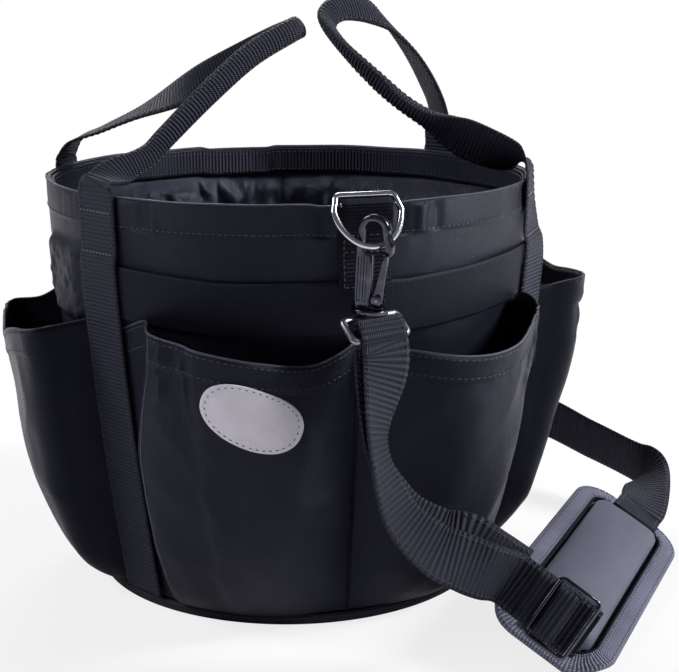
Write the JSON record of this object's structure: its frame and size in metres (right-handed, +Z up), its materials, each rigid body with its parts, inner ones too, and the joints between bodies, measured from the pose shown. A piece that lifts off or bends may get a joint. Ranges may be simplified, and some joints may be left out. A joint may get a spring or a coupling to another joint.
{
  "type": "grooming tote bag",
  "caption": "Round black grooming tote with outer pockets, two webbing handles, and a clip-on padded shoulder strap.",
  "frame": {"origin": "centre of the base's underside, on the floor", "axes": "+Z up, -Y towards the front D-ring, +X towards the right handle"},
  "size_m": [0.4394, 0.444, 0.3641],
  "materials": {
    "band_webbing": "black ribbed polyester webbing",
    "base_cloth": "black coated polyester cloth, slightly shiny",
    "base_tape": "black ribbed polyester webbing",
    "board": "black stiffener board",
    "body_cloth": "black coated polyester cloth, slightly shiny",
    "front_bar_metal": "polished dark nickel plate",
    "front_inner_web": "black ribbed polyester webbing",
    "front_outer_web": "black ribbed polyester webbing",
    "front_pin_metal": "polished dark nickel plate",
    "front_ring_metal": "polished dark nickel plate",
    "front_snap_gate_metal": "polished dark nickel plate",
    "front_snap_hook_metal": "polished dark nickel plate",
    "front_spring_steel": "bright spring steel",
    "front_swivel_eye_metal": "polished dark nickel plate",
    "front_tab_web": "black ribbed polyester webbing",
    "front_turn_web": "black ribbed polyester webbing",
    "handle_left_web": "black ribbed polyester webbing",
    "handle_right_web": "black ribbed polyester webbing",
    "pad_back_cloth": "black coated polyester cloth, slightly shiny",
    "pad_cloth": "padded grey-blue nylon",
    "pad_front_webbing": "black ribbed polyester webbing",
    "pad_tape": "black ribbed polyester webbing",
    "patch_cloth": "light woven patch with a stitched border",
    "pocket_front_left_cloth": "black coated polyester cloth, slightly shiny",
    "pocket_front_right_cloth": "black coated polyester cloth, slightly shiny",
    "pocket_left_cloth": "black coated polyester cloth, slightly shiny",
    "pocket_rear_left_cloth": "black coated polyester cloth, slightly shiny",
    "pocket_rear_right_cloth": "black coated polyester cloth, slightly shiny",
    "pocket_right_cloth": "black coated polyester cloth, slightly shiny",
    "rear_bar_metal": "polished dark nickel plate",
    "rear_pin_metal": "polished dark nickel plate",
    "rear_ring_metal": "polished dark nickel plate",
    "rear_snap_gate_metal": "polished dark nickel plate",
    "rear_snap_hook_metal": "polished dark nickel plate",
    "rear_spring_steel": "bright spring steel",
    "rear_strap_web": "black ribbed polyester webbing",
    "rear_swivel_eye_metal": "polished dark nickel plate",
    "rear_tab_web": "black ribbed polyester webbing",
    "rear_turn_web": "black ribbed polyester webbing",
    "rim_web": "black ribbed polyester webbing",
    "slider_metal": "polished dark nickel plate",
    "slider_web": "black ribbed polyester webbing",
    "strap_web_front_left": "black ribbed polyester webbing",
    "strap_web_front_right": "black ribbed polyester webbing",
    "strap_web_rear_left": "black ribbed polyester webbing",
    "strap_web_rear_right": "black ribbed polyester webbing"
  },
  "bodies": {
    "bag": {"base_binding": "base_tape", "base_board": "board", "base_panel": "base_cloth", "body_wall": "body_cloth", "front_ring_tab": "front_tab_web", "front_strap_inner": "front_inner_web", "front_strap_outer": "front_outer_web", "oval_patch": "patch_cloth", "pad_backing": "pad_back_cloth", "pad_binding": "pad_tape", "pad_cushion": "pad_cloth", "pad_front_web": "pad_front_webbing", "pocket_front_left": "pocket_front_left_cloth", "pocket_front_right": "pocket_front_right_cloth", "pocket_left": "pocket_left_cloth", "pocket_rear_left": "pocket_rear_left_cloth", "pocket_rear_right": "pocket_rear_right_cloth", "pocket_right": "pocket_right_cloth", "rear_ring_tab": "rear_tab_web", "rear_strap": "rear_strap_web", "rim_webbing": "rim_web", "strap_front_left": "strap_web_front_left", "strap_front_right": "strap_web_front_right", "strap_rear_left": "strap_web_rear_left", "strap_rear_right": "strap_web_rear_right", "tool_band": "band_webbing"},
    "front_hook": {"front_gate_pin": "front_pin_metal", "front_gate_spring": "front_spring_steel", "front_snap_hook": "front_snap_hook_metal"},
    "front_ring": {"front_ring": "front_ring_metal", "front_ring_bar": "front_bar_metal", "front_strap_turn": "front_turn_web", "front_swivel_eye": "front_swivel_eye_metal"},
    "front_gate": {"front_snap_gate": "front_snap_gate_metal"},
    "left_handle": {"handle_left": "handle_left_web"},
    "right_handle": {"handle_right": "handle_right_web"},
    "rear_hook": {"rear_gate_pin": "rear_pin_metal", "rear_gate_spring": "rear_spring_steel", "rear_snap_hook": "rear_snap_hook_metal"},
    "rear_ring": {"rear_ring": "rear_ring_metal", "rear_ring_bar": "rear_bar_metal", "rear_strap_turn": "rear_turn_web", "rear_swivel_eye": "rear_swivel_eye_metal"},
    "rear_gate": {"rear_snap_gate": "rear_snap_gate_metal"},
    "strap_slider": {"slider_frame": "slider_metal", "slider_strap_end": "slider_web"}
  },
  "joints": [
    {"name": "left_handle_swing", "type": "hinge", "parent": "bag", "child": "left_handle", "pos_m": [-0.1325, 0, 0.2625], "axis": [0, -1, 0], "range_deg": [0, 110]},
    {"name": "right_handle_swing", "type": "hinge", "parent": "bag", "child": "right_handle", "pos_m": [0.1325, 0, 0.2625], "axis": [0, 1, 0], "range_deg": [0, 110]},
    {"name": "front_ring_swing", "type": "hinge", "parent": "bag", "child": "front_ring", "pos_m": [0.00191, -0.15599, 0.2553], "axis": [-0.9999, -0.0122, 0], "range_deg": [0, 38], "deforming": ["front_strap_turn"]},
    {"name": "front_hook_swivel", "type": "hinge", "parent": "front_ring", "child": "front_hook", "pos_m": [0.00064, -0.1666, 0.2005], "axis": [-0.0472, 0.0387, -0.9981], "range_deg": [0, 96]},
    {"name": "front_gate_press", "type": "hinge", "parent": "front_hook", "child": "front_gate", "pos_m": [0.00428, -0.16959, 0.20542], "axis": [-0.6334, -0.7738, 0], "range_deg": [0, 12], "stiffness_Nm_per_rad": 0.02, "springref_deg": -17.19},
    {"name": "rear_ring_swing", "type": "hinge", "parent": "bag", "child": "rear_ring", "pos_m": [0, 0.1595, 0.2473], "axis": [1, 0, 0], "range_deg": [0, 38], "deforming": ["rear_strap_turn"]},
    {"name": "rear_hook_swivel", "type": "hinge", "parent": "rear_ring", "child": "rear_hook", "pos_m": [0.0014, 0.1701, 0.1925], "axis": [0.0468, -0.0392, -0.9981], "range_deg": [0, 96]},
    {"name": "rear_gate_press", "type": "hinge", "parent": "rear_hook", "child": "rear_gate", "pos_m": [-0.00221, 0.17313, 0.19742], "axis": [0.6428, 0.766, 0], "range_deg": [0, 12], "stiffness_Nm_per_rad": 0.02, "springref_deg": -17.19},
    {"name": "slider_slide", "type": "slide", "parent": "bag", "child": "strap_slider", "axis": [0.6604, -0.5644, -0.4953], "range_m": [-0.01, 0.01]}
  ]
}
